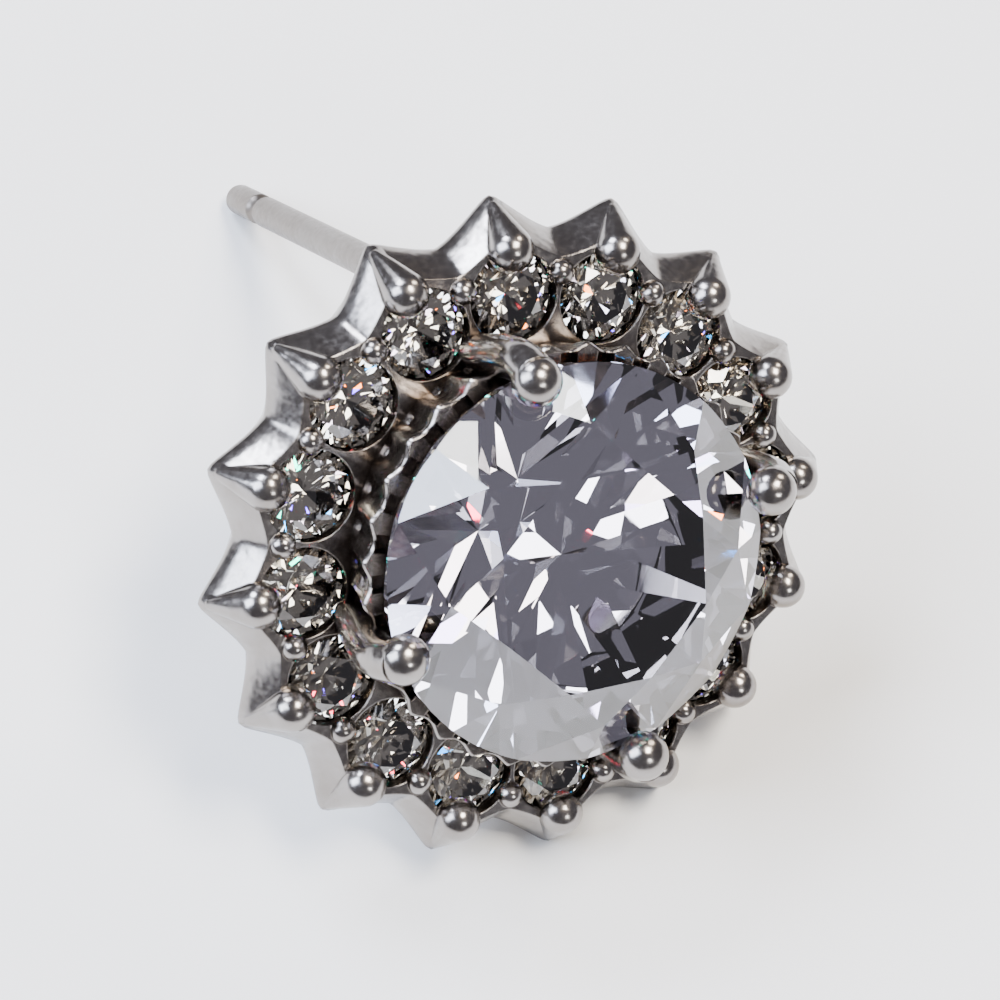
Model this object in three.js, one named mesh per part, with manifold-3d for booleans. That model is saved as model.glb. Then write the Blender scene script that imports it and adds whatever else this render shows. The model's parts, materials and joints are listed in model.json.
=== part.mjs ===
// Halo stud earring, one of a pair: a large round stone in a four-prong head, a fluted collar under
// it, and a halo of sixteen small round stones inside a sixteen-pointed star of claws. A thin ear
// post stands behind the halo, above the middle of the head. Unworn, the stud leans back on the
// tips of its two lowest claws and on the end of the post.
//
// The head is drawn in its own frame, in millimetres: +Z comes out of the face, +Y goes up the ear,
// and the points of the claws lie at z = 0. A last group turns it into its resting place.

import * as THREE from 'three';
import { mergeVertices } from 'three/addons/utils/BufferGeometryUtils.js';
import Module from 'manifold-3d';

const wasm = await Module();
wasm.setup();

// Driving sizes, millimetres
const MAIN_STONE = { diameter: 8, girdleZ: 2.7, sides: 64 };
const HALO_STONE = { diameter: 1.8, girdleZ: 0.5, sides: 16, ringRadius: 4.95 };
const HALO_COUNT = 16;
const STAR = { backZ: -0.6, topZ: 0.75, tipRadius: 6.85, hollowRadius: 6.1 };
const STAR_BACK = { tipRadius: 6.3, hollowRadius: 5.9 };
const STAR_TOP = { tipRadius: 6.18, hollowRadius: 5.66 };
const CLAW_BEAD = { radius: 0.4, ringRadius: 5.93, z: 0.82 };
const SMALL_BEAD = { radius: 0.27, ringRadius: 5.4, z: 0.7 };
const COLLAR = { flutes: 32, fluteDepth: 0.16, rimZ: 2.2, rimRadius: 4.28, footRadius: 3.96 };
const COLLAR_BORE = { radius: 3.6, mouthRadius: 3.78 };
const NOTCH = { width: 0.32, depth: 0.3, length: 0.36 };
const CUP = { footZ: -1.5, footRadius: 2.5, boreRadius: 1.7 };
const PRONG = { count: 4, radius: 0.42, beadRadius: 0.5 };
const POST = { radius: 0.34, length: 11.4, offset: 4.95, padRadius: 0.85, padThickness: 0.3 };
const POST_GROOVE = { fromEnd: 1.6, width: 0.36, depth: 0.08 };
const AZURE_RADIUS = 0.5;
const SEAT_GAP = 0.04;

// Round brilliant proportions, as shares of the girdle's radius
const CUT = { table: 0.57, crownAngle: 34.5, pavilionAngle: 41, star: 0.5, lowerHalf: 0.77, girdle: 0.05 };

const TURN = 2 * Math.PI;
const CLAW_PITCH = TURN / HALO_COUNT;
const FIRST_CLAW = Math.PI / 2 + CLAW_PITCH / 2;
const CURVE_SIDES = 10;

// ---- small tools -------------------------------------------------------------------------------

function solidOf(geometry) {
  const bare = geometry.index ? geometry.clone() : geometry;
  bare.deleteAttribute('normal');
  bare.deleteAttribute('uv');
  const merged = mergeVertices(bare, 1e-5);
  return new wasm.Manifold(new wasm.Mesh({
    numProp: 3,
    vertProperties: new Float32Array(merged.attributes.position.array),
    triVerts: new Uint32Array(merged.index.array),
  }));
}

function geometryOf(solid) {
  const mesh = solid.getMesh();
  const geometry = new THREE.BufferGeometry();
  geometry.setAttribute('position', new THREE.BufferAttribute(mesh.vertProperties, 3));
  geometry.setIndex(new THREE.BufferAttribute(mesh.triVerts, 1));
  return geometry;
}

function joined(solids) {
  return solids.reduce((whole, next) => whole.add(next));
}

// A point at an angle around the face axis
function onRing(angle, radius, z) {
  return new THREE.Vector3(radius * Math.cos(angle), radius * Math.sin(angle), z);
}

// A solid turned about the face axis; the profile holds [radius, z] pairs
function turned(profile, sides) {
  const points = profile.map(([radius, z]) => new THREE.Vector2(radius, z));
  return new THREE.LatheGeometry(points, sides).rotateX(Math.PI / 2);
}

function ball(radius, centre, sides) {
  return new THREE.SphereGeometry(radius, sides, sides / 2)
    .rotateX(Math.PI / 2)
    .translate(centre.x, centre.y, centre.z);
}

// A ring-shaped solid through closed outlines: each row gives a height and a radius for each angle
function loftedRing(rows, sides) {
  const positions = [];
  const triangles = [];
  for (const row of rows) {
    for (let side = 0; side < sides; side += 1) {
      const angle = FIRST_CLAW + (TURN * side) / sides;
      positions.push(...onRing(angle, row.radius(angle), row.z).toArray());
    }
  }
  for (let row = 0; row < rows.length; row += 1) {
    const above = (row + 1) % rows.length;
    for (let side = 0; side < sides; side += 1) {
      const next = (side + 1) % sides;
      const corners = [row * sides + side, row * sides + next, above * sides + next, above * sides + side];
      triangles.push(corners[0], corners[1], corners[2], corners[0], corners[2], corners[3]);
    }
  }
  const geometry = new THREE.BufferGeometry();
  geometry.setAttribute('position', new THREE.Float32BufferAttribute(positions, 3));
  geometry.setIndex(triangles);
  return geometry;
}

// ---- stones ------------------------------------------------------------------------------------

// A round brilliant is a turned blank, ground flat facet by facet, as a cutter grinds it. Its girdle's
// upper edge lies at z = 0. A gap gives the bed that the stone sits in: larger all round, and ground
// to the main facets only, because those enclose all the others.
function brilliant(diameter, sides, gap = 0) {
  const radius = diameter / 2;
  const crownSlope = Math.tan(THREE.MathUtils.degToRad(CUT.crownAngle));
  const pavilionSlope = Math.tan(THREE.MathUtils.degToRad(CUT.pavilionAngle));
  const main = TURN / 8;
  const half = main / 2;
  const tableZ = radius * (1 - CUT.table) * crownSlope;
  const girdleFloor = -radius * CUT.girdle;
  const tableEdge = CUT.table * Math.cos(half);
  const starRadius = tableEdge + CUT.star * (1 - tableEdge);
  const starZ = radius * (1 - starRadius * Math.cos(half)) * crownSlope;
  const lowRadius = 1 - CUT.lowerHalf;
  const lowZ = girdleFloor - radius * (1 - lowRadius * Math.cos(half)) * pavilionSlope;
  const culetZ = girdleFloor - radius * pavilionSlope;

  const blank = new THREE.CylinderGeometry(radius + gap, radius + gap, 2 * radius, sides)
    .rotateX(Math.PI / 2)
    .rotateZ(half / 2);
  let stone = solidOf(blank);
  const grind = (a, b, c) => {
    const normal = new THREE.Vector3().crossVectors(b.clone().sub(a), c.clone().sub(a)).normalize();
    if (normal.z * (a.z + b.z + c.z - girdleFloor) < 0) {
      normal.negate();
    }
    stone = stone.trimByPlane(normal.clone().negate().toArray(), -(normal.dot(a) + gap));
  };
  stone = stone.trimByPlane([0, 0, -1], -(tableZ + gap));
  for (let index = 0; index < 8; index += 1) {
    const angle = index * main;
    const top = onRing(angle, radius, 0);
    const bottom = onRing(angle, radius, girdleFloor);
    const tableCorner = onRing(angle, radius * CUT.table, tableZ);
    const nextCorner = onRing(angle + main, radius * CUT.table, tableZ);
    const culet = new THREE.Vector3(0, 0, culetZ);
    grind(tableCorner, onRing(angle - half, radius * starRadius, starZ), top);
    grind(culet, onRing(angle - half, radius * lowRadius, lowZ), bottom);
    if (gap > 0) {
      continue;
    }
    grind(tableCorner, nextCorner, onRing(angle + half, radius * starRadius, starZ));
    for (const side of [-half, half]) {
      grind(onRing(angle + side, radius * starRadius, starZ), top, onRing(angle + side, radius, 0));
      grind(onRing(angle + side, radius * lowRadius, lowZ), bottom, onRing(angle + side, radius, girdleFloor));
    }
  }
  return stone;
}

// ---- setting: halo, collar, head and post, cast and soldered as one piece of silver ------------------

// Radius of the star's outline: sharp at every claw and hollowed between two claws
function starOutline({ tipRadius, hollowRadius }) {
  return (angle) => {
    const pitches = (angle - FIRST_CLAW) / CLAW_PITCH;
    const nearness = Math.abs(pitches - Math.floor(pitches) - 0.5) * 2;
    return hollowRadius + (tipRadius - hollowRadius) * nearness ** 1.6;
  };
}

function round(radius) {
  return () => radius;
}

function haloBody() {
  return loftedRing([
    { z: STAR.backZ, radius: starOutline(STAR_BACK) },
    { z: 0, radius: starOutline(STAR) },
    { z: STAR.topZ, radius: starOutline(STAR_TOP) },
    { z: STAR.topZ - 0.1, radius: round(COLLAR_BORE.radius + 0.1) },
    { z: STAR.backZ, radius: round(COLLAR_BORE.radius + 0.1) },
  ], HALO_COUNT * 6);
}

// The seat under one small stone: a bearing, a cone and an open hole through to the back
function haloSeat() {
  const radius = (HALO_STONE.diameter / 2 + SEAT_GAP) / Math.cos(Math.PI / CURVE_SIDES);
  const bearingZ = HALO_STONE.girdleZ - 0.15;
  const coneDepth = radius - AZURE_RADIUS;
  return turned([
    [0, STAR.backZ - 0.5],
    [AZURE_RADIUS, STAR.backZ - 0.5],
    [AZURE_RADIUS, bearingZ - coneDepth],
    [radius, bearingZ],
    [radius, STAR.topZ + 0.6],
    [0, STAR.topZ + 0.6],
  ], CURVE_SIDES);
}

// A flared wall with upright flutes; its notched rim stands just under the main stone's edge
function collarBody() {
  const fluted = (radius) => (angle) => {
    const phase = COLLAR.flutes * (angle - FIRST_CLAW);
    return radius - COLLAR.fluteDepth * (0.5 - 0.5 * Math.cos(phase));
  };
  return loftedRing([
    { z: STAR.backZ + 0.05, radius: round(COLLAR.footRadius) },
    { z: 0.8, radius: fluted(COLLAR.footRadius + 0.04) },
    { z: COLLAR.rimZ, radius: fluted(COLLAR.rimRadius) },
    { z: COLLAR.rimZ, radius: round(COLLAR_BORE.mouthRadius) },
    { z: STAR.backZ + 0.05, radius: round(COLLAR_BORE.radius) },
  ], COLLAR.flutes * 4);
}

function rimNotch(angle) {
  const inner = COLLAR_BORE.mouthRadius - 0.1;
  const centre = onRing(angle, inner + NOTCH.length / 2, COLLAR.rimZ);
  return new THREE.BoxGeometry(NOTCH.length, NOTCH.width, 2 * NOTCH.depth)
    .rotateZ(angle)
    .translate(centre.x, centre.y, centre.z);
}

// The cup closes the head behind the main stone, down to an open round hole under its point
function cupBody() {
  return loftedRing([
    { z: CUP.footZ, radius: round(CUP.footRadius) },
    { z: STAR.backZ - 0.1, radius: round(COLLAR_BORE.radius + 0.2) },
    { z: STAR.backZ + 0.2, radius: round(COLLAR_BORE.radius + 0.15) },
    { z: STAR.backZ + 0.2, radius: round(COLLAR_BORE.radius - 0.2) },
    { z: CUP.footZ, radius: round(CUP.boreRadius) },
  ], 32);
}

function prong(angle) {
  const route = new THREE.CatmullRomCurve3([
    onRing(angle, 3.8, STAR.backZ + 0.1),
    onRing(angle, 4.08, 1),
    onRing(angle, 4.3, 2),
    onRing(angle, 4.32, 2.7),
    onRing(angle, 4.18, 3.2),
  ]);
  const section = new THREE.Shape().absarc(0, 0, PRONG.radius, 0, TURN);
  const wire = new THREE.ExtrudeGeometry(section, {
    steps: 6,
    curveSegments: 5,
    bevelEnabled: false,
    extrudePath: route,
  });
  return solidOf(wire).add(solidOf(ball(PRONG.beadRadius, onRing(angle, 4.04, 3.3), 10)));
}

function post() {
  const endZ = STAR.backZ - POST.length;
  const padZ = STAR.backZ - POST.padThickness;
  const grooveZ = endZ + POST_GROOVE.fromEnd;
  const grooveRadius = POST.radius - POST_GROOVE.depth;
  return turned([
    [0, endZ],
    [POST.radius - 0.1, endZ],
    [POST.radius, endZ + 0.1],
    [POST.radius, grooveZ - POST_GROOVE.width / 2],
    [grooveRadius, grooveZ - POST_GROOVE.width / 4],
    [grooveRadius, grooveZ + POST_GROOVE.width / 4],
    [POST.radius, grooveZ + POST_GROOVE.width / 2],
    [POST.radius, padZ],
    [POST.padRadius, padZ],
    [POST.padRadius, STAR.backZ + 0.1],
    [0, STAR.backZ + 0.1],
  ], 2 * CURVE_SIDES).translate(0, POST.offset, 0);
}

function eachClaw(make) {
  return Array.from({ length: HALO_COUNT }, (_, index) => make(FIRST_CLAW + index * CLAW_PITCH, index));
}

const mainCentre = new THREE.Vector3(0, 0, MAIN_STONE.girdleZ);

function settingSolid() {
  const seats = eachClaw((angle) => {
    const place = onRing(angle, HALO_STONE.ringRadius, 0);
    return solidOf(haloSeat().translate(place.x, place.y, place.z));
  });
  const halo = solidOf(haloBody()).subtract(joined(seats));
  const notches = Array.from({ length: COLLAR.flutes }, (_, index) => (
    solidOf(rimNotch(FIRST_CLAW + ((index + 0.5) * TURN) / COLLAR.flutes))
  ));
  const collar = solidOf(collarBody()).subtract(joined(notches));
  const prongs = Array.from({ length: PRONG.count }, (_, index) => prong((index * TURN) / PRONG.count));
  const beads = eachClaw((angle) => [
    solidOf(ball(CLAW_BEAD.radius, onRing(angle, CLAW_BEAD.ringRadius, CLAW_BEAD.z), 8)),
    solidOf(ball(SMALL_BEAD.radius, onRing(angle + CLAW_PITCH / 2, SMALL_BEAD.ringRadius, SMALL_BEAD.z), 6)),
  ]).flat();
  const beds = eachClaw((angle) => (
    brilliant(HALO_STONE.diameter, HALO_STONE.sides, SEAT_GAP)
      .translate(onRing(angle, HALO_STONE.ringRadius, HALO_STONE.girdleZ).toArray())
  ));
  const mainBed = brilliant(MAIN_STONE.diameter, MAIN_STONE.sides, SEAT_GAP)
    .translate(mainCentre.toArray());
  const grips = joined([...prongs, ...beads]).subtract(joined([mainBed, ...beds]));
  return joined([halo, collar, solidOf(cupBody()), grips, solidOf(post())]);
}

// ---- assembly ----------------------------------------------------------------------------------

const silver = { color: 0xb9b7b4, metalness: 1, roughness: 0.18 };
const crystal = { color: 0xdfe2ee, metalness: 0, roughness: 0.02, transparent: true, opacity: 0.45 };

function piece(name, solid, finish) {
  const mesh = new THREE.Mesh(geometryOf(solid), new THREE.MeshStandardMaterial(finish));
  mesh.name = name;
  return mesh;
}

const head = new THREE.Group();
const setting = piece('setting', settingSolid(), silver);
head.add(setting);

const mainStone = piece('centre_stone', brilliant(MAIN_STONE.diameter, MAIN_STONE.sides), crystal);
mainStone.position.copy(mainCentre);
head.add(mainStone);

eachClaw((angle, index) => {
  const name = `halo_stone_${String(index + 1).padStart(2, '0')}`;
  const stone = piece(name, brilliant(HALO_STONE.diameter, HALO_STONE.sides), crystal);
  stone.position.copy(onRing(angle, HALO_STONE.ringRadius, HALO_STONE.girdleZ));
  head.add(stone);
});

// The floor touches the two lowest claw tips and the lowest edge of the post's end
function faceElevation(geometry) {
  const clawY = -STAR.tipRadius * Math.cos(CLAW_PITCH / 2);
  const vertices = geometry.attributes.position;
  let slope = Infinity;
  for (let index = 0; index < vertices.count; index += 1) {
    if (vertices.getZ(index) < CUP.footZ) {
      slope = Math.min(slope, (vertices.getY(index) - clawY) / -vertices.getZ(index));
    }
  }
  return Math.atan(slope);
}

head.rotation.x = Math.PI / 2 - faceElevation(setting.geometry);
const earring = new THREE.Group();
earring.add(head);
earring.updateMatrixWorld(true);

const extent = new THREE.Box3().setFromObject(earring, true);
const middle = extent.getCenter(new THREE.Vector3());
head.position.set(-middle.x, -middle.y, -extent.min.z);

export default earring;
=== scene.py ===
import json
import math
import random

import bmesh
import bpy
from mathutils import Matrix, Vector

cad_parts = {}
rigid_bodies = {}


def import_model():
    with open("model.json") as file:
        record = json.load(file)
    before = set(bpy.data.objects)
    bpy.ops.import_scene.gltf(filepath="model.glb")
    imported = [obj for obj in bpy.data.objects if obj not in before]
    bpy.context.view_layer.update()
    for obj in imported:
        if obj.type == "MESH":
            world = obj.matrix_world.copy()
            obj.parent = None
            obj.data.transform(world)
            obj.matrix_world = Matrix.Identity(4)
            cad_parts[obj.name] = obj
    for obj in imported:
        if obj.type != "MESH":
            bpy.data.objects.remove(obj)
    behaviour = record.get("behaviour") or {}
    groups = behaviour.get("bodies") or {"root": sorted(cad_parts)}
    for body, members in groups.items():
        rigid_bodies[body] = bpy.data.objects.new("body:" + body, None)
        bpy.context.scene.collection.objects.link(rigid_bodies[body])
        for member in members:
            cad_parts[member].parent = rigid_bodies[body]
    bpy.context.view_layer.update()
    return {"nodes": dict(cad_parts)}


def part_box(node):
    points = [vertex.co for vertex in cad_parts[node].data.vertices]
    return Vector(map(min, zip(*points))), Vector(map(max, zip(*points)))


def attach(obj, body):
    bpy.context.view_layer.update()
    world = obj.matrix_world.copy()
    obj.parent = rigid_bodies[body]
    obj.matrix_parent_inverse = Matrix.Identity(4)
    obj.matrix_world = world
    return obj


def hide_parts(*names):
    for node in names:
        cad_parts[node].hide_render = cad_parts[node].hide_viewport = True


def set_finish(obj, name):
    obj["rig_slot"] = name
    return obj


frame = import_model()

# ---- how the stud stands ----------------------------------------------------------------------------
# Unworn, the stud leans back on its two lowest claws and the end of its post. The ring of small stones
# gives the way the head faces, and the table of the large stone gives how far out it stands.

MM = 0.001
HALO_COUNT = 16
MAIN_RADIUS = 4.0
MAIN_GIRDLE_Z = 2.7
CROWN_SLOPE = math.tan(math.radians(34.5))
TABLE_SHARE = 0.57


def node_middle(name):
    low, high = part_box(name)
    return (low + high) / 2


def span_along(name, axis):
    reach = [corner.co.dot(axis) for corner in frame["nodes"][name].data.vertices]
    return min(reach), max(reach)


halo_names = [f"halo_stone_{index + 1:02d}" for index in range(HALO_COUNT)]
halo_middles = [node_middle(name) for name in halo_names]
ring_middle = sum(halo_middles, Vector()) / HALO_COUNT
last_quarter = HALO_COUNT * 3 // 4
ear_up = ((halo_middles[0] + halo_middles[-1]) / 2 - ring_middle).normalized()
side = ((halo_middles[last_quarter - 1] + halo_middles[last_quarter]) / 2 - ring_middle).normalized()
face = side.cross(ear_up)
table_height = MAIN_GIRDLE_Z + MAIN_RADIUS * (1 - TABLE_SHARE) * CROWN_SLOPE
head_origin = (
    side * sum(span_along("centre_stone", side)) / 2
    + ear_up * sum(span_along("centre_stone", ear_up)) / 2
    + face * (span_along("centre_stone", face)[1] - table_height * MM)
)
# From millimetres in the head's own frame to metres in the object's frame
head_turn = Matrix((side, ear_up, face)).transposed().to_4x4()
HEAD = Matrix.Translation(head_origin) @ head_turn @ Matrix.Scale(MM, 4)

# ---- halo: star, seats and claws --------------------------------------------------------------------
# One casting in sterling silver, rhodium plated and polished: a sixteen-pointed star whose edge is
# hollowed between the points, a seat and an open hole for every small stone, a claw drawn out from
# every point to a ball, and a small shared bead between two stones.

TURN = 2 * math.pi
PITCH = TURN / HALO_COUNT
FIRST_CLAW = TURN / 4 + PITCH / 2
SIDES_PER_CLAW = 24
HALO_RADIUS = 0.9
HALO_RING = 4.95
HALO_GIRDLE_Z = 0.5
AZURE_RADIUS = 0.5
SEAT_GAP = 0.02
BEARING_DEPTH = 0.12
BACK_Z = -0.6
TOP_Z = 0.75
COLLAR_BORE = 3.6
COLLAR_OVERLAP = 0.12
TIP_SOFTNESS = 0.08
HOLLOW_CURVE = 1.6
# height, radius at a claw, radius half way between two claws
STAR_LEVELS = (
    (-0.60, 6.22, 5.86),
    (-0.52, 6.38, 5.93),
    (-0.16, 6.74, 6.06),
    (-0.03, 6.84, 6.10),
    (0.06, 6.83, 6.09),
    (0.30, 6.64, 5.97),
    (0.70, 6.26, 5.70),
    (0.76, 6.19, 5.66),
)
CLAW_BALL = {"ring": 5.9, "height": 0.80, "radius": 0.46}
CLAW_POINT = {"ring": 6.62, "height": 0.14, "radius": 0.14}
SMALL_BEAD = {"ring": 5.36, "height": 0.72, "radius": 0.27}


def on_ring(angle, radius, height):
    return Vector((radius * math.cos(angle), radius * math.sin(angle), height))


def ring_solid(rows, sides, closed=True):
    """A solid through level outlines; each row is a height and a radius, or a radius for each angle."""
    bm = bmesh.new()
    loops = []
    for height, radius in rows:
        loop = []
        for step in range(sides):
            angle = FIRST_CLAW + TURN * step / sides
            reach = radius(angle) if callable(radius) else radius
            loop.append(bm.verts.new(on_ring(angle, reach, height)))
        loops.append(loop)
    pairs = list(zip(loops, loops[1:]))
    if closed:
        pairs.append((loops[-1], loops[0]))
    for lower, upper in pairs:
        for step in range(sides):
            after = (step + 1) % sides
            bm.faces.new((lower[step], lower[after], upper[after], upper[step]))
    bmesh.ops.remove_doubles(bm, verts=bm.verts, dist=1e-5)
    bmesh.ops.recalc_face_normals(bm, faces=bm.faces)
    return bm


def loose_object(name, *parts):
    """One object from bmesh parts, in the head's own millimetres."""
    whole = bmesh.new()
    for part in parts:
        scratch = bpy.data.meshes.new("scratch")
        part.to_mesh(scratch)
        whole.from_mesh(scratch)
        part.free()
        bpy.data.meshes.remove(scratch)
    mesh = bpy.data.meshes.new(name)
    whole.to_mesh(mesh)
    whole.free()
    thing = bpy.data.objects.new(name, mesh)
    bpy.context.scene.collection.objects.link(thing)
    return thing


def combine(thing, operation, tool):
    """Joins a tool to a thing, or cuts it away, and takes the tool off the bench."""
    step = thing.modifiers.new(operation, "BOOLEAN")
    step.solver = "MANIFOLD"
    step.operation = operation
    step.object = tool
    bpy.context.view_layer.update()
    worked = thing.evaluated_get(bpy.context.evaluated_depsgraph_get())
    mesh = bpy.data.meshes.new_from_object(worked)
    thing.modifiers.clear()
    thing.data = mesh
    bpy.data.objects.remove(tool)


def bead(angle, ring, height, radius, flatten=1.0):
    bm = bmesh.new()
    place = Matrix.Translation(on_ring(angle, ring, height)) @ Matrix.Rotation(angle, 4, "Z")
    shape = Matrix.Diagonal((1.0, 1.0, flatten, 1.0))
    bmesh.ops.create_uvsphere(bm, u_segments=24, v_segments=14, radius=radius, matrix=place @ shape)
    return bm


def claw_ridge(angle):
    """The claw: a ball over the stones' edges, drawn out into a ridge that ends at the star's point."""
    hull = bmesh.new()
    for ball in (bead(angle, **CLAW_BALL), bead(angle, **CLAW_POINT)):
        for vert in ball.verts:
            hull.verts.new(vert.co)
        ball.free()
    wrapped = bmesh.ops.convex_hull(hull, input=hull.verts)
    spare = {part for part in wrapped["geom_interior"] if isinstance(part, bmesh.types.BMVert)}
    bmesh.ops.delete(hull, geom=list(spare), context="VERTS")
    bmesh.ops.recalc_face_normals(hull, faces=hull.faces)
    return hull


def star_edge(at_claw, between):
    def radius(angle):
        pitches = (angle - FIRST_CLAW) / PITCH
        away = abs(pitches - round(pitches)) * 2
        softened = math.sqrt(away * away + TIP_SOFTNESS ** 2) - TIP_SOFTNESS
        return between + (at_claw - between) * max(0.0, 1 - softened) ** HOLLOW_CURVE
    return radius


def seat_cutter(angle):
    """A cone for the stone's point, wider above its bearing, with a hole on through the back."""
    radius = HALO_RADIUS + SEAT_GAP
    bearing = HALO_GIRDLE_Z - BEARING_DEPTH
    below = BACK_Z - 0.4
    above = TOP_Z + 0.5
    cutter = ring_solid([
        (below, 0.0),
        (below, AZURE_RADIUS),
        (bearing - (radius - AZURE_RADIUS), AZURE_RADIUS),
        (bearing, radius),
        (above, radius),
        (above, 0.0),
    ], 40, closed=False)
    bmesh.ops.translate(cutter, verts=cutter.verts, vec=on_ring(angle, HALO_RING, 0))
    return cutter


def every_claw(make):
    return [make(FIRST_CLAW + index * PITCH) for index in range(HALO_COUNT)]


# The star's plate ends inside the collar's wall, where the two are soldered
halo_rows = [(height, star_edge(claw, hollow)) for height, claw, hollow in STAR_LEVELS]
halo_rows += [(TOP_Z - 0.05, COLLAR_BORE + COLLAR_OVERLAP), (BACK_Z, COLLAR_BORE + COLLAR_OVERLAP)]
halo = loose_object("halo", ring_solid(halo_rows, HALO_COUNT * SIDES_PER_CLAW))
combine(halo, "DIFFERENCE", loose_object("seats", *every_claw(seat_cutter)))
combine(halo, "UNION", loose_object("claws", *every_claw(claw_ridge)))
small_beads = every_claw(lambda angle: bead(angle + PITCH / 2, **SMALL_BEAD))
combine(halo, "UNION", loose_object("small_beads", *small_beads))


def linear(hex_colour):
    """An sRGB hex colour as the linear colour that a shader reads."""
    parts = [int(hex_colour[start:start + 2], 16) / 255 for start in (1, 3, 5)]
    bent = [part / 12.92 if part <= 0.04045 else ((part + 0.055) / 1.055) ** 2.4 for part in parts]
    return (*bent, 1.0)


def add(tree, kind, inputs=None, stops=(), **settings):
    """A node with its settings. An input that is another node's output is linked, and a colour ramp
    gets its stops, in order, as a place and a hex colour each."""
    made = tree.nodes.new(kind)
    for name, value in settings.items():
        setattr(made, name, value)
    for name, value in (inputs or {}).items():
        if isinstance(value, bpy.types.NodeSocket):
            tree.links.new(value, made.inputs[name])
        else:
            made.inputs[name].default_value = value
    for index, (place, hex_colour) in enumerate(stops):
        elements = made.color_ramp.elements
        element = elements[index] if index < len(elements) else elements.new(place)
        element.position = place
        element.color = linear(hex_colour)
    return made


def new_material(name):
    material = bpy.data.materials.new(name)
    material.use_nodes = True
    material.node_tree.nodes.clear()
    return material, material.node_tree


def silver_metal(name, lit_crest_colour, roughness):
    """Sterling silver, rhodium plated and buffed: a grey mirror, softened by wear. Its colour holds
    painted shade and light:
    darker and browner in the corners, where the AO finds little open room, and brightest on its open
    crests, with a warm tarnish that varies at random."""
    material, tree = new_material(name)
    place = add(tree, "ShaderNodeTexCoord").outputs["Object"]
    corner_mm = 0.8
    # Painted shade and light: the AO below darkens the colour in corners and recesses and lightens it on
    # open crests; the noise cloud adds tarnish at random
    sky = add(tree, "ShaderNodeAmbientOcclusion", {"Distance": corner_mm * MM}, samples=8, inside=False)
    crest = add(tree, "ShaderNodeMapRange", {
        "Value": sky.outputs["AO"], "From Min": 0.25, "From Max": 0.8})
    tarnish_mm = 1.1
    cloud = add(tree, "ShaderNodeTexNoise", {
        "Vector": place, "Scale": 1 / (tarnish_mm * MM), "Detail": 4.0, "Roughness": 0.6})
    lit_and_clean = add(tree, "ShaderNodeMath", {
        0: crest.outputs["Result"], 1: cloud.outputs["Fac"]}, operation="ADD")
    half_lit_and_clean = add(tree, "ShaderNodeMath", {0: lit_and_clean.outputs[0], 1: 0.5}, operation="MULTIPLY")
    # From painted shade in the corners (#2e251d), through the silver's own grey (#736a62), to the colour
    # of the crests with painted light on it
    colour = add(tree, "ShaderNodeValToRGB", {"Fac": half_lit_and_clean.outputs[0]}, stops=(
        (0.2, "#2e251d"), (0.5, "#736a62"), (0.82, lit_crest_colour)))
    # The scratches of a buff are a hundredth of this wide, and would not show
    grain_mm = 0.12
    grain = add(tree, "ShaderNodeTexNoise", {
        "Vector": place, "Scale": 1 / (grain_mm * MM), "Detail": 3.0, "Roughness": 0.55})
    rough = add(tree, "ShaderNodeMapRange", {
        "Value": grain.outputs["Fac"], "From Min": 0.3, "From Max": 0.7,
        "To Min": roughness, "To Max": roughness + 0.12})
    worn_edge_mm = 0.05
    soft_edge = add(tree, "ShaderNodeBevel", {"Radius": worn_edge_mm * MM}, samples=4)
    wave_mm = 0.55
    wave_depth_mm = 0.035
    waves = add(tree, "ShaderNodeTexNoise", {
        "Vector": place, "Scale": 1 / (wave_mm * MM), "Detail": 2.0, "Roughness": 0.5})
    dents = add(tree, "ShaderNodeBump", {
        "Height": waves.outputs["Fac"], "Distance": wave_depth_mm * MM, "Strength": 0.6,
        "Normal": soft_edge.outputs["Normal"]})
    shader = add(tree, "ShaderNodeBsdfPrincipled", {
        "Base Color": colour.outputs["Color"], "Metallic": 1.0, "Roughness": rough.outputs["Result"],
        "Normal": dents.outputs["Normal"]})
    add(tree, "ShaderNodeOutputMaterial", {"Surface": shader.outputs["BSDF"]})
    return material


# The given colour is the lightest stop, on open crests, and holds painted light
cast_silver = silver_metal("cast silver, rhodium plated, buffed", "#999592", 0.15)


def unpolished_shaded_silver():
    """Silver as it comes from the mould: the buff can't reach behind the large stone, so the metal there
    stays grainy and dull, and its colour is painted a dark brown-grey as shade behind the stone, so that
    the stone looks dark and deep."""
    material, tree = new_material("silver, as cast, unpolished behind the stones")
    place = add(tree, "ShaderNodeTexCoord").outputs["Object"]
    grain_mm = 0.1
    grain_depth_mm = 0.01
    grain = add(tree, "ShaderNodeTexNoise", {
        "Vector": place, "Scale": 1 / (grain_mm * MM), "Detail": 3.0})
    # Painted shade: both stops are a dark brown-grey for the shade behind the large stone; the noise
    # between them is the cast grain
    colour = add(tree, "ShaderNodeValToRGB", {"Fac": grain.outputs["Fac"]}, stops=(
        (0.35, "#3a322e"), (0.65, "#6b615b")))
    bump = add(tree, "ShaderNodeBump", {
        "Height": grain.outputs["Fac"], "Distance": grain_depth_mm * MM, "Strength": 0.5})
    shader = add(tree, "ShaderNodeBsdfPrincipled", {
        "Base Color": colour.outputs["Color"], "Metallic": 1.0, "Roughness": 0.42,
        "Normal": bump.outputs["Normal"]})
    add(tree, "ShaderNodeOutputMaterial", {"Surface": shader.outputs["BSDF"]})
    return material


raw_shaded_silver = unpolished_shaded_silver()
HIDDEN_RADIUS = COLLAR_BORE + 0.14
HIDDEN_FROM_Z = -1.45
HIDDEN_TO_Z = 1.95


def behind_stone(polygon):
    """Whether a face of the metal looks inward, at the large stone's underside."""
    outward = polygon.center.xy
    near = outward.length < HIDDEN_RADIUS and HIDDEN_FROM_Z < polygon.center.z < HIDDEN_TO_Z
    return near and polygon.normal.xy.dot(outward) < 0


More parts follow.
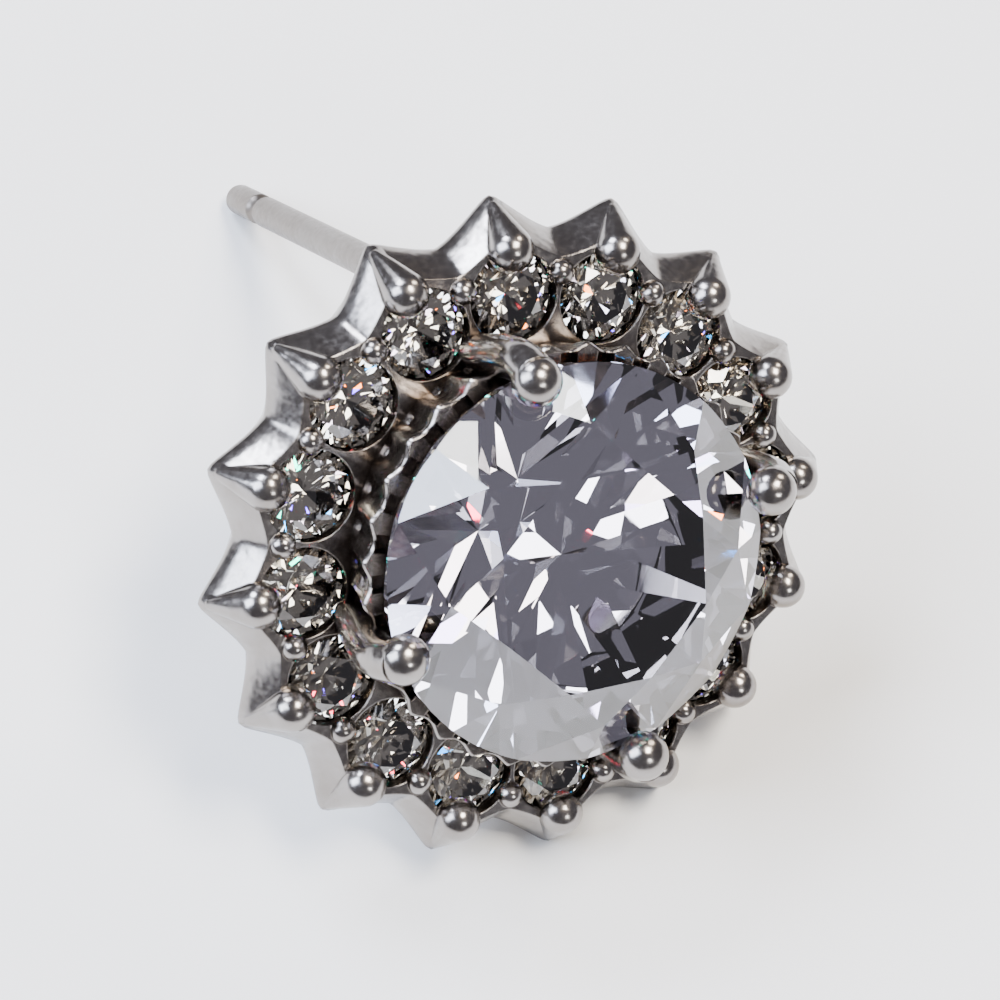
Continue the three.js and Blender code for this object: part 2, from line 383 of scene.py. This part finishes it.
def finish_metal(thing, silver=cast_silver, smooth_degrees=38.0):
    """Puts a metal piece in its place on the stud, with its silver and its links to the model."""
    # The faces behind the large stone get the unpolished silver, whose colour holds painted shade
    unpolished = [int(behind_stone(polygon)) for polygon in thing.data.polygons]
    thing.data.transform(HEAD)
    thing.data.polygons.foreach_set("use_smooth", [True] * len(thing.data.polygons))
    thing.data.set_sharp_from_angle(angle=math.radians(smooth_degrees))
    thing.data.materials.clear()
    thing.data.materials.append(silver)
    thing.data.materials.append(raw_shaded_silver)
    thing.data.polygons.foreach_set("material_index", unpolished)
    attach(thing, "root")
    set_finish(thing, "silver")
    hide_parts("setting")


finish_metal(halo)

# ---- collar -----------------------------------------------------------------------------------------
# A flared silver wall under the edge of the large stone, soldered into the halo. Its outside is
# fluted, and its rim is notched between the flutes like a coronet.

FLUTES = 32
SIDES_PER_FLUTE = 12
FLUTE_DEPTH = 0.17
FLUTE_CURVE = 0.7
RIM_Z = 2.2
RIM_RADIUS = 4.3
FOOT_Z = BACK_Z + 0.05
FOOT_RADIUS = 3.96
MOUTH_RADIUS = 3.8
# across the wall, along the rim and down
NOTCH = (0.42, 0.36, 0.62)


def fluted(crest):
    def radius(angle):
        swing = 0.5 - 0.5 * math.cos(FLUTES * (angle - FIRST_CLAW))
        return crest - FLUTE_DEPTH * swing ** FLUTE_CURVE
    return radius


def rim_notch(index):
    angle = FIRST_CLAW + (index + 0.5) * TURN / FLUTES
    bm = bmesh.new()
    spot = Matrix.Translation(on_ring(angle, MOUTH_RADIUS + 0.09, RIM_Z + 0.02))
    shape = Matrix.Rotation(angle, 4, "Z") @ Matrix.Diagonal((*NOTCH, 1.0))
    bmesh.ops.create_cube(bm, size=1.0, matrix=spot @ shape)
    return bm


collar = loose_object("collar", ring_solid([
    (FOOT_Z, FOOT_RADIUS),
    (0.65, FOOT_RADIUS),
    (0.85, fluted(FOOT_RADIUS + 0.04)),
    (1.55, fluted(FOOT_RADIUS + 0.16)),
    (RIM_Z - 0.06, fluted(RIM_RADIUS)),
    (RIM_Z, fluted(RIM_RADIUS - 0.04)),
    (RIM_Z, MOUTH_RADIUS),
    (1.9, COLLAR_BORE + 0.02),
    (FOOT_Z, COLLAR_BORE),
], FLUTES * SIDES_PER_FLUTE))
combine(collar, "DIFFERENCE", loose_object("notches", *[rim_notch(index) for index in range(FLUTES)]))
finish_metal(collar)

# ---- head: cup and four prongs ----------------------------------------------------------------------
# A silver cup closes the collar behind the large stone, down to an open round hole under its point.
# Four round wires stand on it and are bent over the stone's edge, each one ending in a filed bead, and
# a bed of the stone's own shape is cut in them.

PRONG_COUNT = 4
PRONG_RADIUS = 0.42
PRONG_BEAD = {"ring": 4.08, "height": 3.26, "radius": 0.5, "flatten": 0.92}
# distance from the head's middle, height
PRONG_ROUTE = ((3.8, -0.5), (3.92, 0.3), (4.08, 1.0), (4.24, 1.7), (4.34, 2.3), (4.36, 2.8), (4.2, 3.25))
CUP_BACK_Z = -1.5
CUP_BEVEL_Z = -1.42
BED_GAP = 0.02
MAIN_SIDES = 96
PAVILION_SLOPE = math.tan(math.radians(41.0))
STAR_SHARE = 0.5
LOWER_SHARE = 0.77
GIRDLE_SHARE = 0.05


def wire(route, radius, sides=20, steps=28):
    """A round wire on one smooth curve through the route's points, with flat ends."""
    points = []
    for step in range(steps + 1):
        t = step / steps * (len(route) - 1)
        start = min(int(t), len(route) - 2)
        near = [route[min(max(start + shift, 0), len(route) - 1)] for shift in (-1, 0, 1, 2)]
        f = t - start
        points.append(0.5 * (
            2 * near[1] + (near[2] - near[0]) * f
            + (2 * near[0] - 5 * near[1] + 4 * near[2] - near[3]) * f * f
            + (3 * near[1] - near[0] - 3 * near[2] + near[3]) * f * f * f
        ))
    bm = bmesh.new()
    loops = []
    for step, point in enumerate(points):
        along = (points[min(step + 1, steps)] - points[max(step - 1, 0)]).normalized()
        across = along.cross(Vector((0, 0, 1)).cross(point)).normalized()
        other = along.cross(across)
        loops.append([
            bm.verts.new(point + radius * (across * math.cos(turn) + other * math.sin(turn)))
            for turn in (TURN * k / sides for k in range(sides))
        ])
    for lower, upper in zip(loops, loops[1:]):
        for k in range(sides):
            after = (k + 1) % sides
            bm.faces.new((lower[k], lower[after], upper[after], upper[k]))
    bm.faces.new(loops[0])
    bm.faces.new(loops[-1])
    bmesh.ops.recalc_face_normals(bm, faces=bm.faces)
    return bm


def prong_wire(angle):
    return wire([on_ring(angle, radius, height) for radius, height in PRONG_ROUTE], PRONG_RADIUS)


def brilliant(radius, sides, grown=0.0):
    """A round brilliant with its girdle's upper edge at height 0: a turned blank, ground flat facet by
    facet. Grown by a gap, it is the bed that is cut for it."""
    bm = bmesh.new()
    eighth = TURN / 8
    half = eighth / 2
    table_z = radius * (1 - TABLE_SHARE) * CROWN_SLOPE
    floor = -radius * GIRDLE_SHARE
    table_flat = TABLE_SHARE * math.cos(half)
    star = table_flat + STAR_SHARE * (1 - table_flat)
    star_z = radius * (1 - star * math.cos(half)) * CROWN_SLOPE
    low = 1 - LOWER_SHARE
    low_z = floor - radius * (1 - low * math.cos(half)) * PAVILION_SLOPE
    culet = Vector((0, 0, floor - radius * PAVILION_SLOPE))
    bmesh.ops.create_cone(
        bm, cap_ends=True, segments=sides, radius1=radius + grown, radius2=radius + grown,
        depth=2 * radius, matrix=Matrix.Rotation(TURN / sides / 2, 4, "Z"))

    def grind(a, b, c):
        normal = (b - a).cross(c - a).normalized()
        inward = normal.z * (a.z + b.z + c.z - floor) < 0
        outward = -normal if inward else normal
        everything = bm.verts[:] + bm.edges[:] + bm.faces[:]
        cut = bmesh.ops.bisect_plane(
            bm, geom=everything, dist=1e-6, plane_co=a + outward * grown, plane_no=outward,
            clear_outer=True)
        edges = [part for part in cut["geom_cut"] if isinstance(part, bmesh.types.BMEdge)]
        if len(edges) > 2:
            bmesh.ops.contextual_create(bm, geom=edges)

    flat = Vector((0, 0, table_z))
    grind(flat, flat + Vector((1, 0, 0)), flat + Vector((0, 1, 0)))
    for index in range(8):
        angle = index * eighth
        top = on_ring(angle, radius, 0)
        bottom = on_ring(angle, radius, floor)
        corner = on_ring(angle, radius * TABLE_SHARE, table_z)
        next_corner = on_ring(angle + eighth, radius * TABLE_SHARE, table_z)
        grind(corner, on_ring(angle - half, radius * star, star_z), top)
        grind(culet, on_ring(angle - half, radius * low, low_z), bottom)
        grind(corner, next_corner, on_ring(angle + half, radius * star, star_z))
        for turn in (-half, half):
            grind(on_ring(angle + turn, radius * star, star_z), top, on_ring(angle + turn, radius, 0))
            grind(on_ring(angle + turn, radius * low, low_z), bottom, on_ring(angle + turn, radius, floor))
    bmesh.ops.recalc_face_normals(bm, faces=bm.faces)
    return bm


prong_angles = [TURN * index / PRONG_COUNT for index in range(PRONG_COUNT)]
head = loose_object("head", ring_solid([
    (CUP_BACK_Z, 2.5),
    (CUP_BEVEL_Z, 2.62),
    (BACK_Z - 0.1, COLLAR_BORE + COLLAR_OVERLAP),
    (BACK_Z + 0.2, COLLAR_BORE + 0.15),
    (BACK_Z + 0.2, COLLAR_BORE - 0.2),
    (BACK_Z - 0.1, COLLAR_BORE - 0.35),
    (CUP_BEVEL_Z, 1.8),
    (CUP_BACK_Z, 1.7),
], 96))
combine(head, "UNION", loose_object("prongs", *[prong_wire(angle) for angle in prong_angles]))
combine(head, "UNION", loose_object("prong_beads", *[bead(angle, **PRONG_BEAD) for angle in prong_angles]))
main_bed = brilliant(MAIN_RADIUS, MAIN_SIDES, BED_GAP)
bmesh.ops.translate(main_bed, verts=main_bed.verts, vec=(0, 0, MAIN_GIRDLE_Z))
combine(head, "DIFFERENCE", loose_object("main_bed", main_bed))
finish_metal(head)

# ---- large stone ------------------------------------------------------------------------------------
# A clear cubic zirconia, cut as a round brilliant with 33 facets on the crown and 24 below, and
# polished. The four prongs hold it in the mouth of the collar.

MAIN_STONE_TURN = math.radians(9)
ZIRCONIA_IOR = 2.17


def cut_crystal(name, tint):
    """Cubic zirconia, ground and polished: water clear, with strong bright mirror flashes from its high
    refraction, and a faint film of wear that dulls some of them."""
    material, tree = new_material(name)
    place = add(tree, "ShaderNodeTexCoord").outputs["Object"]
    film_mm = 0.8
    film = add(tree, "ShaderNodeTexNoise", {
        "Vector": place, "Scale": 1 / (film_mm * MM), "Detail": 3.0})
    rough = add(tree, "ShaderNodeMapRange", {
        "Value": film.outputs["Fac"], "From Min": 0.45, "From Max": 0.75, "To Min": 0.0, "To Max": 0.03})
    shader = add(tree, "ShaderNodeBsdfPrincipled", {
        "Base Color": linear(tint), "Roughness": rough.outputs["Result"], "IOR": ZIRCONIA_IOR,
        "Transmission Weight": 1.0})
    add(tree, "ShaderNodeOutputMaterial", {"Surface": shader.outputs["BSDF"]})
    return material


def set_stone(name, shape, material, slot):
    stone = loose_object(name, shape)
    stone.data.transform(HEAD)
    stone.data.materials.append(material)
    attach(stone, "root")
    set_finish(stone, slot)
    return stone


main_crystal = cut_crystal("cubic zirconia, brilliant cut, large", "#e7e5f4")
main_shape = brilliant(MAIN_RADIUS, MAIN_SIDES)
bmesh.ops.rotate(main_shape, verts=main_shape.verts, matrix=Matrix.Rotation(MAIN_STONE_TURN, 3, "Z"))
bmesh.ops.translate(main_shape, verts=main_shape.verts, vec=(0, 0, MAIN_GIRDLE_Z))
large_stone = set_stone("large_stone", main_shape, main_crystal, "main_crystal")
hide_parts("centre_stone")

# ---- small stones -----------------------------------------------------------------------------------
# Sixteen small brilliants of the same cut, in a slightly warm cubic zirconia, one inside each claw.
# Each sits a hair out of true and turned its own way, as hand-set stones do.

HALO_STONE_SIDES = 48
LEAN_DEGREES = 2.5

small_crystal = cut_crystal("cubic zirconia, brilliant cut, small", "#d8d2c2")
setter = random.Random(16)
for index, name in enumerate(halo_names):
    shape = brilliant(HALO_RADIUS, HALO_STONE_SIDES)
    lean = Matrix.Rotation(math.radians(setter.uniform(-LEAN_DEGREES, LEAN_DEGREES)), 3, "X")
    nod = Matrix.Rotation(math.radians(setter.uniform(-LEAN_DEGREES, LEAN_DEGREES)), 3, "Y")
    turn = Matrix.Rotation(setter.uniform(0, TURN / 8), 3, "Z")
    bmesh.ops.rotate(shape, verts=shape.verts, matrix=lean @ nod @ turn)
    centre = on_ring(FIRST_CLAW + index * PITCH, HALO_RING, HALO_GIRDLE_Z)
    bmesh.ops.translate(shape, verts=shape.verts, vec=centre)
    small_stone = set_stone(f"small_stone_{index + 1:02d}", shape, small_crystal, "small_crystal")
    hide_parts(name)

# ---- ear post ---------------------------------------------------------------------------------------
# A drawn silver wire on a small round pad, soldered to the back of the halo above the head's middle.
# Its end is rounded, and a turned groove near the end holds the clutch.

POST_RADIUS = 0.34
POST_OFFSET = 4.95
POST_END_Z = -12.0
GROOVE_Z = POST_END_Z + 1.6
GROOVE_RADIUS = POST_RADIUS - 0.09
GROOVE_SHOULDER = POST_RADIUS - 0.06
PAD_RADIUS = 0.85
PAD_Z = BACK_Z - 0.3

post_shape = ring_solid([
    (POST_END_Z, 0.0),
    (POST_END_Z, 0.2),
    (POST_END_Z + 0.03, 0.27),
    (POST_END_Z + 0.1, 0.33),
    (POST_END_Z + 0.16, POST_RADIUS),
    (GROOVE_Z - 0.2, POST_RADIUS),
    (GROOVE_Z - 0.12, GROOVE_SHOULDER),
    (GROOVE_Z - 0.05, GROOVE_RADIUS),
    (GROOVE_Z + 0.05, GROOVE_RADIUS),
    (GROOVE_Z + 0.12, GROOVE_SHOULDER),
    (GROOVE_Z + 0.2, POST_RADIUS),
    (PAD_Z - 0.25, POST_RADIUS),
    (PAD_Z - 0.08, POST_RADIUS + 0.05),
    (PAD_Z, POST_RADIUS + 0.2),
    (PAD_Z + 0.02, PAD_RADIUS - 0.07),
    (PAD_Z + 0.08, PAD_RADIUS),
    (BACK_Z + 0.08, PAD_RADIUS),
    (BACK_Z + 0.08, 0.0),
], 40, closed=False)
bmesh.ops.translate(post_shape, verts=post_shape.verts, vec=(0, POST_OFFSET, 0))
post = loose_object("ear_post", post_shape)
drawn_silver = silver_metal("drawn silver wire, rhodium plated, worn satin", "#7f7a75", 0.34)
finish_metal(post, drawn_silver, 30.0)

# ---- table ------------------------------------------------------------------------------------------
# The stud lies on a plain white laminate table top, far wider than the view.

TABLE_HALF_WIDTH = 1.2


def white_laminate():
    """White laminate, pressed matt: an even, slightly rough white that shows only soft shadows."""
    material, tree = new_material("white laminate, matt")
    place = add(tree, "ShaderNodeTexCoord").outputs["Object"]
    grain_mm = 0.4
    grain_depth_mm = 0.01
    grain = add(tree, "ShaderNodeTexNoise", {
        "Vector": place, "Scale": 1 / (grain_mm * MM), "Detail": 2.0})
    bump = add(tree, "ShaderNodeBump", {
        "Height": grain.outputs["Fac"], "Distance": grain_depth_mm * MM, "Strength": 0.3})
    shader = add(tree, "ShaderNodeBsdfPrincipled", {
        "Base Color": linear("#fbfbfa"), "Roughness": 0.6, "Normal": bump.outputs["Normal"]})
    add(tree, "ShaderNodeOutputMaterial", {"Surface": shader.outputs["BSDF"]})
    return material


table_mesh = bpy.data.meshes.new("table")
table_corners = [
    (TABLE_HALF_WIDTH * x, TABLE_HALF_WIDTH * y, 0) for x, y in ((-1, -1), (1, -1), (1, 1), (-1, 1))
]
table_mesh.from_pydata(table_corners, [], [(0, 1, 2, 3)])
table = bpy.data.objects.new("table", table_mesh)
table.data.materials.append(white_laminate())
bpy.context.scene.collection.objects.link(table)

# ---- room and lamps ---------------------------------------------------------------------------------
# A dim grey room and soft panels: a cool window on the left and another behind, a warm ceiling light,
# and two small lamps, on the right and in front.

room = bpy.data.worlds.new("room")
bpy.context.scene.world = room
room.use_nodes = True
room.node_tree.nodes["Background"].inputs["Color"].default_value = linear("#a9a6af")
room.node_tree.nodes["Background"].inputs["Strength"].default_value = 0.5


def away_from_stud(azimuth, elevation):
    """The way out from the stud to a place at these angles, in radians."""
    return Vector((
        math.sin(azimuth) * math.cos(elevation),
        -math.cos(azimuth) * math.cos(elevation),
        math.sin(elevation),
    ))


def panel(name, azimuth, elevation, distance, width, height, power, colour):
    """A soft rectangular light that faces the stud, with its angles in degrees."""
    light = bpy.data.lights.new(name, "AREA")
    light.shape = "RECTANGLE"
    light.size = width
    light.size_y = height
    light.energy = power
    light.color = linear(colour)[:3]
    lamp = bpy.data.objects.new(name, light)
    away = away_from_stud(math.radians(azimuth), math.radians(elevation))
    lamp.location = head_origin + away * distance
    lamp.rotation_mode = "QUATERNION"
    lamp.rotation_quaternion = away.to_track_quat("Z", "Y")
    bpy.context.scene.collection.objects.link(lamp)
    return lamp


panel("window_left", -110, 40, 0.30, 0.16, 0.22, 1.9, "#dfeaff")
panel("window_behind", -165, 50, 0.32, 0.10, 0.10, 1.1, "#e6eeff")
panel("ceiling", 60, 72, 0.40, 0.14, 0.10, 2.2, "#fff6ea")
panel("lamp_right", 110, 42, 0.30, 0.05, 0.07, 0.30, "#fff0dc")
panel("lamp_front", 5, 35, 0.30, 0.05, 0.05, 0.20, "#ffffff")

# Glints: a cut stone mirrors every small light of a room and splits it into colours, which the renderer
# does not do, so a ring of small pale and coloured lamps that only the stones catch stands in for them.

GLINT_COUNT = 27
# width in metres, power in watts
PALE = (0.045, 0.11)
COLOURED = (0.024, 0.09)
GLINTS = (
    ("#ffffff", PALE),
    ("#ff7a1c", COLOURED),
    ("#cfd6ff", PALE),
    ("#1c9cff", COLOURED),
    ("#ffffff", PALE),
    ("#12e0c8", COLOURED),
    ("#e8dcff", PALE),
    ("#ff3d5a", COLOURED),
    ("#5a3cff", COLOURED),
)
stones = bpy.data.collections.new("stones")
for stone in [thing for thing in bpy.data.objects if thing.get("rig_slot", "").endswith("crystal")]:
    stones.objects.link(stone)
for index in range(GLINT_COUNT):
    azimuth = 360 * index / GLINT_COUNT + setter.uniform(-6, 6)
    elevation = setter.uniform(15, 80)
    colour, (width, power) = GLINTS[index % len(GLINTS)]
    lamp = panel(f"glint_{index:02d}", azimuth, elevation, 0.3, width, width, power, colour)
    lamp.light_linking.receiver_collection = stones

# ---- camera -----------------------------------------------------------------------------------------
# Close above the stud and to its left, so that the face turns a little to the right.

CAMERA_AZIMUTH = math.radians(-39.8)
CAMERA_ELEVATION = math.radians(61.5)
CAMERA_ROLL = math.radians(12.1)
CAMERA_DISTANCE = 61.8 * MM
FRAME_WIDTH = 19.6 * MM
SENSOR_WIDTH_MM = 36.0
# in the head's own millimetres, between the middle of the face and the post
AIM = Vector((-0.5, 1.1, 0.8))

camera = bpy.data.objects.new("camera", bpy.data.cameras.new("camera"))
bpy.context.scene.collection.objects.link(camera)
bpy.context.scene.camera = camera
toward_camera = away_from_stud(CAMERA_AZIMUTH, CAMERA_ELEVATION)
camera.location = HEAD @ AIM + toward_camera * CAMERA_DISTANCE
camera.rotation_mode = "QUATERNION"
looking = (-toward_camera).to_track_quat("-Z", "Y").to_matrix()
camera.rotation_quaternion = (looking @ Matrix.Rotation(CAMERA_ROLL, 3, "Z")).to_quaternion()
camera.data.sensor_width = SENSOR_WIDTH_MM
camera.data.lens = SENSOR_WIDTH_MM * CAMERA_DISTANCE / FRAME_WIDTH
camera.data.clip_start = 0.005
camera.data.clip_end = 5.0
